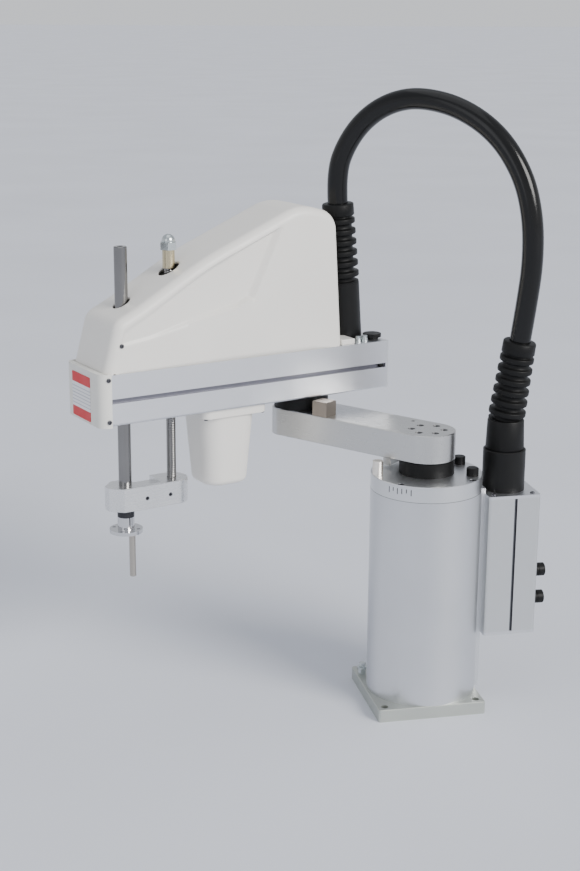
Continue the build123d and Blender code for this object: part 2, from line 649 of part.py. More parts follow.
def belt_plan(grow):
    """The outline round both pulleys, each radius grown by the same amount."""
    small = MOTOR_PULLEY_R + grow
    large = NUT_PULLEY_R + grow
    lean = asin((large - small) / (SCREW_U - MOTOR_U))
    ends = []
    for u, radius in ((MOTOR_U, small), (SCREW_U, large)):
        ends.append((u - radius * sin(lean), radius * cos(lean)))
    (u0, v0), (u1, v1) = ends
    band = make_face(Polyline((u0, v0), (u1, v1), (u1, -v1), (u0, -v0), close=True))
    return band + Pos(MOTOR_U, 0) * Circle(small) + Pos(SCREW_U, 0) * Circle(large)


def z_belt():
    loop = extrude(Pos(0, 0, 417.5) * belt_plan(1.9), 11.0)
    loop -= extrude(Pos(0, 0, 416.5) * belt_plan(0.3), 13.0)
    save("z_belt", ARM_2, loop)


# ---------------------------------------------------------------- vertical axis


def z_shaft():
    shaft = rod(SHAFT_R, BLOCK_LOW, SHAFT_TOP, SHAFT_U, 0)
    shaft = chamfer(shaft.edges().group_by(Axis.Z)[-1], 0.8)
    shaft += rod(SPIGOT_R, FLANGE_LOW + 1.0, BLOCK_LOW, SHAFT_U, 0)
    save("z_shaft", ARM_2, shaft - rod(3.5, FLANGE_LOW, SHAFT_TOP + 1, SHAFT_U, 0))


def ball_screw():
    screw = rod(SCREW_R, 260.0, 571.0, SCREW_U, 0) + rod(4.0, 571.0, 579.0, SCREW_U, 0)
    save("ball_screw", ARM_2, screw)
    save("screw_collar", ARM_2, tube(7.5, SCREW_R, 549.0, 571.0, SCREW_U, 0))
    nut = extrude(Pos(SCREW_U, 0, 571.0) * RegularPolygon(9.3, 6, major_radius=False), 9.0)
    dome = Pos(SCREW_U, 0, 581.5) * Sphere(8.2) - rod(12.0, 560.0, 580.0, SCREW_U, 0)
    save("screw_cap_nut", ARM_2, nut + dome - rod(4.0, 570.0, 579.5, SCREW_U, 0))


def link_block():
    plan = make_face(
        Polyline(
            (SCREW_U, BLOCK_HALF),
            (266.0, BLOCK_HALF),
            (280.0, 6.0),
            (280.0, -6.0),
            (266.0, -BLOCK_HALF),
            (SCREW_U, -BLOCK_HALF),
            close=True,
        )
    )
    plan += Pos(SCREW_U, 0) * Circle(BLOCK_HALF)
    body = extrude(Pos(0, 0, BLOCK_LOW) * plan, BLOCK_HIGH - BLOCK_LOW)
    levels = body.faces().sort_by(Axis.Z)
    body = chamfer(levels[0].edges() + levels[-1].edges(), 0.6)
    body -= block(212.0, 243.0, -21.0, 14.0, BLOCK_HIGH - 6.0, BLOCK_HIGH + 1)
    body -= block(250.5, 251.5, -21.0, -7.0, BLOCK_LOW - 1, BLOCK_HIGH + 1)
    body -= rod(SHAFT_R, BLOCK_LOW - 1, BLOCK_HIGH + 1, SHAFT_U, 0)
    body -= rod(SCREW_R, 260.0, BLOCK_HIGH + 1, SCREW_U, 0)
    screws = []
    for u in (203.0, 235.0):
        place = Pos(u, BLOCK_HALF, 270.0) * Rot(-90, 0, 0)
        body -= place * rod(2.5 + SCREW_GAP, -9.0, 1.0)
        screw = rod(2.5, -8.5, -0.6)
        screws.append(place * (screw - extrude(Pos(0, 0, -3.0) * RegularPolygon(1.4, 6), 4.0)))
    save("link_block", ARM_2, body)
    save("block_set_screws", ARM_2, *screws)


def tool_end():
    flange = rod(20.5, FLANGE_LOW, FLANGE_LOW + 4.5, SHAFT_U, 0)
    flange += rod(10.5, FLANGE_LOW + 4.5, 245.0, SHAFT_U, 0)
    flange -= rod(SPIGOT_R, FLANGE_LOW + 1.0, 246.0, SHAFT_U, 0)
    flange -= block(SHAFT_U - 0.8, SHAFT_U + 0.8, 5.0, 12.0, FLANGE_LOW + 5.5, 246.0)
    holes = [(SHAFT_U + x, y) for x, y in ring_points(4, 15.75, 45.0)]
    save("tool_flange", ARM_2, drill(flange, 2.1, FLANGE_LOW - 1, FLANGE_LOW + 6, holes))
    save("shaft_collar", ARM_2, tube(10.5, SPIGOT_R, 245.3, 251.8, SHAFT_U, 0))
    pin = rod(TOOL_PIN_R, TOOL_PIN_LOW, FLANGE_LOW, TOOL_PIN_U, 0)
    save("tool_pin", ARM_2, chamfer(pin.edges().group_by(Axis.Z)[0], 0.6))


def main():
    base_plate()
    base_screws()
    ground_terminal()
    column()
    column_cap()
    shoulder_base_side()
    connector_box()
    connector_box_covers()
    cable_sockets()
    base_gland()
    arm_gland()
    hose()
    arm_1()
    shoulder_arm_side()
    elbow()
    arm_2_frame()
    front_cap()
    rear_end()
    top_cover()
    motor_cover()
    arm_2_screws()
    z_drive_housings()
    z_drive_wheels()
    z_belt()
    z_shaft()
    ball_screw()
    link_block()
    tool_end()


main()
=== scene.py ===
import math

import bmesh
import bpy
from mathutils import Matrix, Vector


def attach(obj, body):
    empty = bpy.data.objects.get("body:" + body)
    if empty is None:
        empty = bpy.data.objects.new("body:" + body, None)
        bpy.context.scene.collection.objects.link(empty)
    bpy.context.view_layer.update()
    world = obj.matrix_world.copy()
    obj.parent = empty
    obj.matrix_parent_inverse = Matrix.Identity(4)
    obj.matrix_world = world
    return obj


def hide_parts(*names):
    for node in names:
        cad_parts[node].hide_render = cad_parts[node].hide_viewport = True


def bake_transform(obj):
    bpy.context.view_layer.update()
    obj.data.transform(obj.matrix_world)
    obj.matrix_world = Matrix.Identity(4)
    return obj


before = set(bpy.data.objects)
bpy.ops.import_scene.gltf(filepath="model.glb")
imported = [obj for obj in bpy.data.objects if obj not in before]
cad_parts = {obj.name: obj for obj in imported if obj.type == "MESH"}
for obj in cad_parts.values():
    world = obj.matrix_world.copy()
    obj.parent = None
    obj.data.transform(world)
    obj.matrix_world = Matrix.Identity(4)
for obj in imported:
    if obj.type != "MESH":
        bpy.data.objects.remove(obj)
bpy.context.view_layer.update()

# Places shared with the CAD model, in millimetres: each arm's own frame has X along the arm.
MM = 0.001
TURN_1, TURN_2 = math.radians(130.5), math.radians(200)
ARM_1_LENGTH = 195
BASE = Matrix.Identity(4)
ARM_1 = Matrix.Rotation(TURN_1, 4, "Z")
ELBOW = ARM_1 @ Matrix.Translation((ARM_1_LENGTH, 0, 0))
ARM_2 = Matrix.Translation(ELBOW.translation) @ Matrix.Rotation(TURN_2, 4, "Z")
RAIL_HIGH = 437.0
SLOT_Z = 405.0
SHAFT_U, SCREW_U, MOTOR_U = 255.0, 191.0, 123.0
HOSE_R = 13.0
HOSE_ROUTE = [
    (111.0, -8.4, 462.0),
    (115.4, -12.5, 505.0),
    (119.8, -16.6, 560.0),
    (117.6, -14.5, 615.0),
    (106.6, -4.3, 664.0),
    (81.7, 18.8, 709.0),
    (45.4, 52.5, 738.0),
    (6.1, 88.8, 748.0),
    (-23.7, 116.2, 741.0),
    (-49.6, 140.4, 720.0),
    (-68.7, 158.2, 688.0),
    (-80.1, 165.2, 651.0),
    (-77.3, 166.2, 612.0),
]
HOSE_SPLIT = 6
BOOT_FOOT_Z = 362.0
BOOT_COLLAR, BOOT_PITCH, BOOT_RIBS = 18.0, 13.7, 6
ARM_GLAND_U = -66.0


# ---------------------------------------------------------------- materials


class Nodes:
    """A material's node tree with short ways to add and join nodes."""

    def __init__(self, name, color, metallic, roughness):
        self.material = bpy.data.materials.new(name)
        self.material.use_nodes = True
        self.tree = self.material.node_tree
        self.shader = self.tree.nodes["Principled BSDF"]
        self.shader.inputs["Base Color"].default_value = (*color, 1)
        self.shader.inputs["Metallic"].default_value = metallic
        self.shader.inputs["Roughness"].default_value = roughness
        self.color = color
        self.coords = self.add("ShaderNodeTexCoord").outputs["Object"]

    def add(self, kind, **values):
        node = self.tree.nodes.new(kind)
        for key, value in values.items():
            setattr(node, key, value)
        return node

    def join(self, source, target):
        """Link one socket to another."""
        self.tree.links.new(source, target)

    def noise(self, scale, stretch=(1, 1, 1), turn=0.0, detail=3.0):
        """Noise over the object's own coordinates, stretched along turned axes."""
        spin = self.add("ShaderNodeMapping")
        spin.inputs["Rotation"].default_value = (0, 0, -turn)
        self.join(self.coords, spin.inputs["Vector"])
        grow = self.add("ShaderNodeMapping")
        grow.inputs["Scale"].default_value = stretch
        self.join(spin.outputs[0], grow.inputs["Vector"])
        node = self.add("ShaderNodeTexNoise")
        node.inputs["Scale"].default_value = scale
        node.inputs["Detail"].default_value = detail
        self.join(grow.outputs[0], node.inputs["Vector"])
        return node.outputs[0]

    def spread(self, source, low, high):
        """The middle of a noise's range, spread from low to high."""
        node = self.add("ShaderNodeMapRange")
        node.inputs["From Min"].default_value = 0.3
        node.inputs["From Max"].default_value = 0.7
        node.inputs["To Min"].default_value = low
        node.inputs["To Max"].default_value = high
        self.join(source, node.inputs["Value"])
        return node.outputs[0]

    def vary_color(self, source, amount):
        """Make the colour a little darker and lighter, by a share of itself."""
        ramp = self.add("ShaderNodeValToRGB")
        ramp.color_ramp.elements[0].position = 0.3
        ramp.color_ramp.elements[1].position = 0.7
        ramp.color_ramp.elements[0].color = (*[c * (1 - amount) for c in self.color], 1)
        ramp.color_ramp.elements[1].color = (*[min(1, c * (1 + amount)) for c in self.color], 1)
        self.join(source, ramp.inputs[0])
        self.join(ramp.outputs[0], self.shader.inputs["Base Color"])

    def vary_roughness(self, source, low, high):
        """Let the roughness run from low to high."""
        self.join(self.spread(source, low, high), self.shader.inputs["Roughness"])

    def bump(self, source, distance, strength=1.0):
        """A grain too fine to model, with its depth in metres."""
        node = self.add("ShaderNodeBump")
        node.inputs["Distance"].default_value = distance
        node.inputs["Strength"].default_value = strength
        self.join(source, node.inputs["Height"])
        self.join(node.outputs[0], self.shader.inputs["Normal"])


def brushed(name, color, low, high, stretch, turn=0.0, amount=0.03):
    """Metal with fine lines along the axis with the smallest stretch."""
    m = Nodes(name, color, 1.0, (low + high) / 2)
    lines = m.noise(60.0, stretch, turn)
    m.vary_color(m.noise(9.0), amount)
    m.vary_roughness(lines, low, high)
    m.bump(lines, 0.00002, 0.35)
    return m.material


def cast(name, color, metallic, low, high, grain=900.0, depth=0.00003, amount=0.03, sheen=0.5):
    """An even surface with a fine grain, such as moulded plastic or blasted metal."""
    m = Nodes(name, color, metallic, (low + high) / 2)
    m.shader.inputs["Specular IOR Level"].default_value = sheen
    m.vary_color(m.noise(14.0), amount)
    m.vary_roughness(m.noise(40.0), low, high)
    m.bump(m.noise(grain, detail=2.0), depth, 0.4)
    return m.material


def label_material():
    """A plain printed plate: a red band above and below a white field with ruled lines."""
    low, high = 0.379, 0.428
    first_line, line_pitch, line_width = 0.26, 0.085, 0.025
    m = Nodes("label_print", (0.86, 0.86, 0.86), 0.0, 0.35)
    split = m.add("ShaderNodeSeparateXYZ")
    m.join(m.coords, split.inputs[0])
    ramp = m.add("ShaderNodeValToRGB")
    ramp.color_ramp.interpolation = "CONSTANT"
    red = (0.62, 0.0, 0.006, 1)
    white = (0.84, 0.84, 0.85, 1)
    line = (0.50, 0.51, 0.56, 1)
    ramp.color_ramp.elements[0].color = red
    ramp.color_ramp.elements[1].position = 0.19
    ramp.color_ramp.elements[1].color = white
    for k in range(6):
        start = first_line + line_pitch * k
        ramp.color_ramp.elements.new(start).color = line
        ramp.color_ramp.elements.new(start + line_width).color = white
    ramp.color_ramp.elements.new(0.80).color = red
    height = m.add("ShaderNodeMapRange")
    height.inputs["From Min"].default_value = low
    height.inputs["From Max"].default_value = high
    m.join(split.outputs["Z"], height.inputs["Value"])
    m.join(height.outputs[0], ramp.inputs[0])
    m.join(ramp.outputs[0], m.shader.inputs["Base Color"])
    m.vary_roughness(m.noise(60.0), 0.28, 0.42)
    return m.material


def banded(name, color, dark, axis, bands, stretch, turn=0.0):
    """Anodised metal with a flat dark colour between pairs of places, in metres, along one axis.
    """
    m = Nodes(name, color, 1.0, 0.34)
    lines = m.noise(60.0, stretch, turn)
    m.vary_roughness(lines, 0.30, 0.40)
    m.bump(lines, 0.00002, 0.35)
    split = m.add("ShaderNodeSeparateXYZ")
    m.join(m.coords, split.inputs[0])
    margin = 0.01
    start, span = bands[0][0] - margin, bands[-1][1] - bands[0][0] + 2 * margin
    place = m.add("ShaderNodeMapRange")
    place.inputs["From Min"].default_value = start
    place.inputs["From Max"].default_value = start + span
    m.join(split.outputs[axis], place.inputs["Value"])
    ramp = m.add("ShaderNodeValToRGB")
    ramp.color_ramp.interpolation = "CONSTANT"
    ramp.color_ramp.elements[0].color = (*color, 1)
    ramp.color_ramp.elements.remove(ramp.color_ramp.elements[1])
    for low, high in bands:
        ramp.color_ramp.elements.new((low - start) / span).color = (*dark, 1)
        ramp.color_ramp.elements.new((high - start) / span).color = (*color, 1)
    m.join(place.outputs[0], ramp.inputs[0])
    m.join(ramp.outputs[0], m.shader.inputs["Base Color"])
    return m.material


IVORY = cast("ivory_plastic", (0.84, 0.815, 0.765), 0.0, 0.30, 0.42, 1400.0, 0.00002, 0.015)
MATERIALS = {
    "column": brushed("anodised_column", (0.70, 0.71, 0.73), 0.34, 0.42, (18, 18, 0.6)),
    "rail": brushed("anodised_rail", (0.80, 0.81, 0.83), 0.28, 0.38, (0.6, 18, 18), TURN_2),
    # Painted shade: the frame is coloured dark from 402.2 to 407.8 mm up, the height of its side
    # slot, where shade falls in the recess.
    "frame": banded(
        "anodised_frame_slot_shade",
        (0.80, 0.81, 0.84),
        (0.20, 0.20, 0.23),
        "Z",
        [(0.4022, 0.4078)],
        (0.6, 18, 18),
        TURN_2,
    ),
    "box": banded(
        "anodised_box",
        (0.66, 0.67, 0.67),
        (0.10, 0.10, 0.11),
        "X",
        [(0.1042, 0.1078)],
        (18, 18, 0.6),
    ),
    "cap_ring": banded(
        "anodised_cap",
        (0.74, 0.75, 0.76),
        (0.20, 0.20, 0.20),
        "Z",
        [(0.2795, 0.2806)],
        (18, 18, 0.6),
    ),
    "post": brushed("pale_post", (0.92, 0.87, 0.80), 0.30, 0.42, (12, 12, 1)),
    "plate": cast("plate_metal", (0.52, 0.54, 0.50), 0.85, 0.36, 0.5),
    "machined": brushed("machined_arm", (0.60, 0.60, 0.59), 0.26, 0.36, (0.8, 14, 14), TURN_1),
    "block": brushed("machined_block", (0.80, 0.80, 0.80), 0.22, 0.34, (0.8, 14, 14), TURN_2),
    # Painted reflection and shade: the stop block's dark brownish colour stands for dark brown
    # surroundings seen in its polished metal and for the shade on it.
    "stop": brushed("stop_metal", (0.30, 0.26, 0.22), 0.3, 0.42, (8, 8, 1)),
    "screw": cast("black_oxide", (0.09, 0.09, 0.10), 0.9, 0.3, 0.45),
    "zinc": cast("zinc_plate", (0.62, 0.66, 0.66), 1.0, 0.2, 0.34),
    "steel": brushed("steel", (0.55, 0.55, 0.56), 0.22, 0.32, (10, 10, 1)),
    "bright": brushed("ground_steel", (0.66, 0.66, 0.67), 0.08, 0.16, (12, 12, 1)),
    # Painted reflection: the polished shaft and ball screw get a dark base colour that stands for
    # dark surroundings reflected in them.
    "shaft": brushed("shaft_steel_painted_reflection", (0.24, 0.235, 0.23), 0.10, 0.2, (12, 12, 0.5), 0.0, 0.12),
    "dark_steel": cast("dark_steel", (0.05, 0.05, 0.055), 0.9, 0.3, 0.4),
    "pin": brushed("tool_rod", (0.46, 0.43, 0.39), 0.3, 0.42, (10, 10, 1)),
    "brass": brushed("brass", (0.62, 0.54, 0.36), 0.24, 0.36, (12, 12, 1)),
    "motor": cast("motor_paint", (0.02, 0.02, 0.022), 0.2, 0.4, 0.55),
    "rubber": cast(
        "black_rubber", (0.006, 0.006, 0.006), 0.0, 0.42, 0.56, 700.0, 0.00005, 0.03, 0.22
    ),
    "hose": cast("hose_skin", (0.004, 0.004, 0.004), 0.0, 0.14, 0.24, 300.0, 0.00003, 0.03, 0.35),
    "plastic": cast(
        "black_plastic", (0.008, 0.008, 0.008), 0.0, 0.38, 0.5, 900.0, 0.00003, 0.03, 0.22
    ),
    "cap": cast("cap_paint", (0.76, 0.75, 0.70), 0.0, 0.36, 0.48, 1100.0, 0.00003),
    "ivory": IVORY,
    "label": label_material(),
}
NODE_MATERIALS = {
    "column": "column connector_box_floor connector_box_lid",
    "box": "connector_box",
    "cap_ring": "column_cap",
    "post": "origin_post",
    "rail": "rear_cap rear_deck",
    "frame": "arm_2_frame",
    "plate": "base_plate",
    "machined": "arm_1",
    "block": "link_block z_housing",
    "stop": "elbow_stop_block",
    "screw": "base_screws shoulder_screws block_set_screws connector_box_screws arm_2_screws",
    "zinc": "ground_post ground_screw air_fittings screw_cap_nut",
    "steel": "j1_reducer shoulder_flange elbow_bearing elbow_hub elbow_stop_pins elbow_reducer "
    "nut_bearing shaft_bush ball_nut nut_pulley motor_shaft motor_pulley",
    "bright": "tool_flange",
    "shaft": "z_shaft ball_screw",
    "dark_steel": "shaft_collar",
    "pin": "tool_pin",
    "brass": "screw_collar",
    "motor": "j1_motor elbow_motor z_motor",
    "rubber": "j1_seal_ring elbow_seal_ring j1_stop_bumpers base_gland_boot arm_gland_boot z_belt",
    "hose": "hose_lower hose_upper",
    "plastic": "cable_sockets base_gland_nut arm_gland_nut rear_plug",
    "cap": "front_cap",
    "ivory": "top_cover motor_cover",
    "label": "front_label",
}
for key, names in NODE_MATERIALS.items():
    for name in names.split():
        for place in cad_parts[name].material_slots:
            place.material = MATERIALS[key]


# ---------------------------------------------------------------- meshes


def new_piece(name, mesh, place, material, sharp=35.0):
    """An object from a bmesh in millimetres in an arm's frame, smooth except at sharp edges."""
    bmesh.ops.remove_doubles(mesh, verts=mesh.verts, dist=0.002)
    bmesh.ops.dissolve_degenerate(mesh, edges=mesh.edges, dist=0.001)
    bmesh.ops.recalc_face_normals(mesh, faces=mesh.faces)
    for face in mesh.faces:
        face.smooth = True
    for edge in mesh.edges:
        edge.smooth = not edge.is_manifold or edge.calc_face_angle(0) < math.radians(sharp)
    mesh.transform(Matrix.Scale(MM, 4) @ place)
    data = bpy.data.meshes.new(name)
    mesh.to_mesh(data)
    mesh.free()
    piece = bpy.data.objects.new(name, data)
    bpy.context.scene.collection.objects.link(piece)
    data.materials.append(material)
    return piece


def grid(rows, closed=False):
    """A quad mesh through rows of points; closed joins each row's end to its start."""
    mesh = bmesh.new()
    verts = [[mesh.verts.new(p) for p in row] for row in rows]
    for above, below in zip(verts, verts[1:]):
        count = len(above) if closed else len(above) - 1
        for k in range(count):
            n = (k + 1) % len(above)
            mesh.faces.new([above[k], above[n], below[n], below[k]])
    return mesh, verts


def capped(rows):
    """A closed mesh through closed rings, with a face over its first and last ring."""
    mesh, verts = grid(rows, closed=True)
    mesh.faces.new(verts[0])
    mesh.faces.new(verts[-1])
    return mesh


def applied(piece):
    """A new mesh of the object, with its modifiers or curve settings carried out."""
    bpy.context.view_layer.update()
    return bpy.data.meshes.new_from_object(
        piece.evaluated_get(bpy.context.evaluated_depsgraph_get())
    )


def soften_edges(piece, width):
    """Round the piece's sharp edges, by a width in metres."""
    edge = piece.modifiers.new("edge", "BEVEL")
    edge.width = width
    edge.segments = 3
    edge.limit_method = "ANGLE"


def turned(profile, place, steps=96):
    """A lathed mesh about Z from (radius, height) points that start and end on the axis."""
    angles = [2 * math.pi * k / steps for k in range(steps)]
    rows = []
    for radius, height in profile:
        ring = [(radius * math.cos(a), radius * math.sin(a), height) for a in angles]
        rows.append([place @ Vector(p) for p in ring])
    mesh, _ = grid(rows, closed=True)
    return mesh


def axis_place(origin, along):
    """A frame at origin whose Z runs along a direction."""
    spin = Vector(along).to_track_quat("Z", "Y").to_matrix().to_4x4()
    return Matrix.Translation(origin) @ spin


def arc_line(points, radii, step):
    """Points along straight runs joined by arcs, each with the outward normal of its side."""
    line = []
    pieces = []
    last = Vector(points[0])
    for i in range(1, len(points) - 1):
        a, b, c = (Vector(points[k]) for k in (i - 1, i, i + 1))
        into, out = (b - a).normalized(), (c - b).normalized()
        turn = into.angle_signed(out)
        reach = radii[i - 1] * math.tan(abs(turn) / 2)
        start, end = b - into * reach, b + out * reach
        pieces.append(("run", last, start, into))
        side = 1.0 if turn > 0 else -1.0
        across = Vector((into.y, -into.x)) * side
        pieces.append(("arc", start + across * radii[i - 1], start, (turn, radii[i - 1], side)))
        last = end
    pieces.append(("run", last, Vector(points[-1]), (Vector(points[-1]) - last).normalized()))
    for kind, first, second, extra in pieces:
        if kind == "run":
            count = max(2, int((second - first).length / step))
            normal = Vector((-extra.y, extra.x))
            line += [(first.lerp(second, k / count), normal) for k in range(count + 1)]
        else:
            turn, radius, side = extra
            count = max(4, int(abs(turn) * radius / (0.6 * step)))
            spoke = second - first
            for k in range(1, count):
                angle = -turn * k / count
                moved = Matrix.Rotation(angle, 2) @ spoke
                line.append((first + moved, moved.normalized() * side))
    return line


# ---------------------------------------------------------------- moulded cover

COVER_HALF, COVER_EDGE, COVER_WALL = 46.0, 11.0, 3.0
COVER_STEP = 2.5
OUTLINE = [(-34, 437), (-23, 606), (30, 620), (165, 563), (254, 512), (284, 497), (300, 437)]
OUTLINE_RADII = [28.0, 60.0, 400.0, 60.0, 20.0]
PANEL_LOW = [(105, 509), (119, 502), (174, 490.5), (242, 474), (278, 469), (300, 472)]
PANEL_REAR = [(98, 508), (48, 611)]
PANEL_RISE, PANEL_BAND = 4.0, 9.0
PANEL_LEAST_DEPTH, PANEL_EXTRA_DEPTH = 1.8, 4.7


def ease(t):
    """A smooth step from 0 to 1."""
    t = min(1.0, max(0.0, t))
    return t * t * (3 - 2 * t)


def along(table, x):
    """Straight-line interpolation in a table of (x, y), held level outside it."""
    if x <= table[0][0]:
        return table[0][1]
    for (x0, y0), (x1, y1) in zip(table, table[1:]):
        if x <= x1:
            return y0 + (y1 - y0) * (x - x0) / (x1 - x0)
    return table[-1][1]


def bevel(t):
    """A straight bevel from 0 to 1 whose two edges are only just softened."""
    t = min(1.0, max(0.0, t))
    return 0.85 * t + 0.15 * ease(t)


def panel_depth(u, z):
    """How far the front upper panel lies in from the side face."""
    rise = bevel((z - along(PANEL_LOW, u)) / PANEL_RISE)
    (u0, z0), (u1, z1) = PANEL_REAR
    edge = u0 + (u1 - u0) * (z - z0) / (z1 - z0)
    depth = PANEL_LEAST_DEPTH + PANEL_EXTRA_DEPTH * ease((250 - u) / 150)
    return depth * min(rise, bevel((u - edge) / PANEL_BAND))


def side_shares(base, inner):
    """Shares of the way up the side, with rows of points on both edges of the lower bevel."""
    cuts = []
    for rise in (0.0, PANEL_RISE):
        low, high = 0.0, 1.0
        for _ in range(24):
            middle = (low + high) / 2
            spot = base.lerp(inner, middle)
            if spot.y - along(PANEL_LOW, spot.x) < rise:
                low = middle
            else:
                high = middle
        cuts.append(min(max(low, 0.02), 0.96))
    first, second = cuts[0], max(cuts[1], cuts[0] + 0.01)
    shares = [first * k / 12 for k in range(12)]
    shares += [first + (second - first) * k / 4 for k in range(4)]
    return shares + [second + (1 - second) * k / 28 for k in range(29)]


def cover_row(point, normal, base):
    """One ring of the cover over its top, from the near side's foot to the far side's."""
    half = []
    inner = point - normal * COVER_EDGE
    inner.y = max(inner.y, RAIL_HIGH)
    for share in side_shares(base, inner):
        spot = base.lerp(inner, share)
        fade = ease((inner - spot).length / 6.0)
        half.append((spot.x, COVER_HALF - panel_depth(spot.x, spot.y) * fade, spot.y))
    for k in range(1, 9):
        angle = math.pi / 2 * k / 8
        spot = point - normal * COVER_EDGE * (1 - math.sin(angle))
        across = COVER_HALF - COVER_EDGE * (1 - math.cos(angle))
        half.append((spot.x, across, max(spot.y, RAIL_HIGH)))
    flat = COVER_HALF - COVER_EDGE
    half += [(point.x, flat * (1 - k / 12), point.y) for k in range(1, 13)]
    return half + [(u, -v, z) for u, v, z in reversed(half[:-1])]


def cover_mesh():
    """The cover's outer skin, one ring for each point of its outline."""
    line = arc_line(OUTLINE, OUTLINE_RADII, COVER_STEP)
    first, last = line[0][0].x + COVER_EDGE, line[-1][0].x - COVER_EDGE
    rows = []
    for k, (point, normal) in enumerate(line):
        share = k / (len(line) - 1)
        base = Vector((first + (last - first) * share, RAIL_HIGH))
        rows.append(cover_row(point, normal, base))
    mesh, _ = grid(rows)
    return mesh


def bore(name, radius, u, low, high):
    """A round upright cutter."""
    mesh = bmesh.new()
    place = ARM_2 @ Matrix.Translation((u, 0, (low + high) / 2))
    bmesh.ops.create_cone(
        mesh, cap_ends=True, segments=96, radius1=radius, radius2=radius, depth=high - low
    )
    return new_piece(name, mesh, place, IVORY)


def top_cover():
    """The moulded cover: a skin one wall thick, with a hole for the shaft and for the screw."""
    cover = new_piece("cover_shell", cover_mesh(), ARM_2, IVORY, 40.0)
    wall = cover.modifiers.new("wall", "SOLIDIFY")
    wall.thickness = COVER_WALL * MM
    wall.offset = -1.0
    cutters = [
        bore("cut_shaft", 10.5, SHAFT_U, 480, 640),
        bore("cut_screw", 13.0, SCREW_U, 500, 640),
    ]
    for cutter in cutters:
        cut = cover.modifiers.new(cutter.name, "BOOLEAN")
        cut.operation = "DIFFERENCE"
        cut.solver = "EXACT"
        cut.object = cutter
    final = applied(cover)
    cover.modifiers.clear()
    cover.data = final
    for cutter in cutters:
        bpy.data.objects.remove(cutter)
    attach(cover, "arm_2")
    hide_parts("top_cover")


def cover_lip():
    """The low ledge behind the cover, cut away round the gland."""
    rear, front, half, top_z, thick = -53.0, -33.0, 44.0, 444.0, 7.0
    gland_gap, half_angle, steps = 23.8, 56.9, 40
    outline = [(rear, half), (front, half), (front, -half), (rear, -half)]
    for k in range(steps + 1):
        a = math.radians(-half_angle + 2 * half_angle * k / steps)
        outline.append((ARM_GLAND_U + gland_gap * math.cos(a), gland_gap * math.sin(a)))
    mesh = bmesh.new()
    face = mesh.faces.new([mesh.verts.new((u, v, top_z)) for u, v in outline])
    made = bmesh.ops.extrude_face_region(mesh, geom=[face])
    moved = [v for v in made["geom"] if isinstance(v, bmesh.types.BMVert)]
    bmesh.ops.translate(mesh, verts=moved, vec=(0, 0, -thick))
    lip = new_piece("cover_lip", mesh, ARM_2, IVORY)
    soften_edges(lip, 0.0012)
    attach(lip, "arm_2")


def rounded_square(half, corner, z, steps=10):
    """Points round a square with rounded corners."""
    points = []
    for quarter in range(4):
        middle = math.pi / 4 + quarter * math.pi / 2
        x = (half - corner) * (1 if math.cos(middle) > 0 else -1)
        y = (half - corner) * (1 if math.sin(middle) > 0 else -1)
        for k in range(steps + 1):
            a = quarter * math.pi / 2 + math.pi / 2 * k / steps
            points.append((MOTOR_U + x + corner * math.cos(a), y + corner * math.sin(a), z))
    return points


def motor_cup():
    """The cup under the arm: a rounded foot, a leaning wall outside and one inside."""
    foot_z, foot_r, rim_z, floor_z = 272.0, 8.0, 364.0, 277.0
    wall_z = foot_z + foot_r
    rows = []
    for k in range(9):
        a = math.pi / 2 * k / 8
        inset = foot_r * (1 - math.sin(a))
        z = foot_z + foot_r * (1 - math.cos(a))
        rows.append(rounded_square(31.5 - inset, max(22.0 - inset, 3.0), z))
    for k in range(1, 13):
        t = k / 12
        z = wall_z + (rim_z - wall_z) * t
        rows.append(rounded_square(31.5 + 6.5 * t, 22.0 + 3.0 * t, z))
    for k in range(12, -1, -1):
        t = k / 12
        z = floor_z + (rim_z - floor_z) * t
        rows.append(rounded_square(28.5 + 6.3 * t, 19.0 + 3.0 * t, z))
    return new_piece("motor_cup", capped(rows), ARM_2, IVORY, 60.0)


def motor_flange():
    """The broad flange round the cup's rim, open in the middle."""
    low, high = 364.0, 374.9
    outline = []
    for sx, sy, start in ((1, 1, 0), (-1, 1, 90), (-1, -1, 180), (1, -1, 270)):
        for k in range(11):
            a = math.radians(start + 9 * k)
            outline.append((121 + sx * 35 + 10 * math.cos(a), sy * 32 + 10 * math.sin(a)))
    inner = [(u, v) for u, v, _ in rounded_square(34.8, 22.0, 0)]
    rings = ((outline, low), (outline, high), (inner, high), (inner, low))
    rows = [[(u, v, z) for u, v in ring] for ring, z in rings]
    rows.append(rows[0])
    mesh, _ = grid(rows, closed=True)
    flange = new_piece("motor_flange", mesh, ARM_2, IVORY, 40.0)
    soften_edges(flange, 0.001)
    return flange


def motor_cover():
    """The moulded cover of the Z motor, under the arm."""
    cup = motor_cup()
    for piece in (cup, motor_flange()):
        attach(piece, "arm_2")
    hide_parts("motor_cover")


# ---------------------------------------------------------------- hose and boots


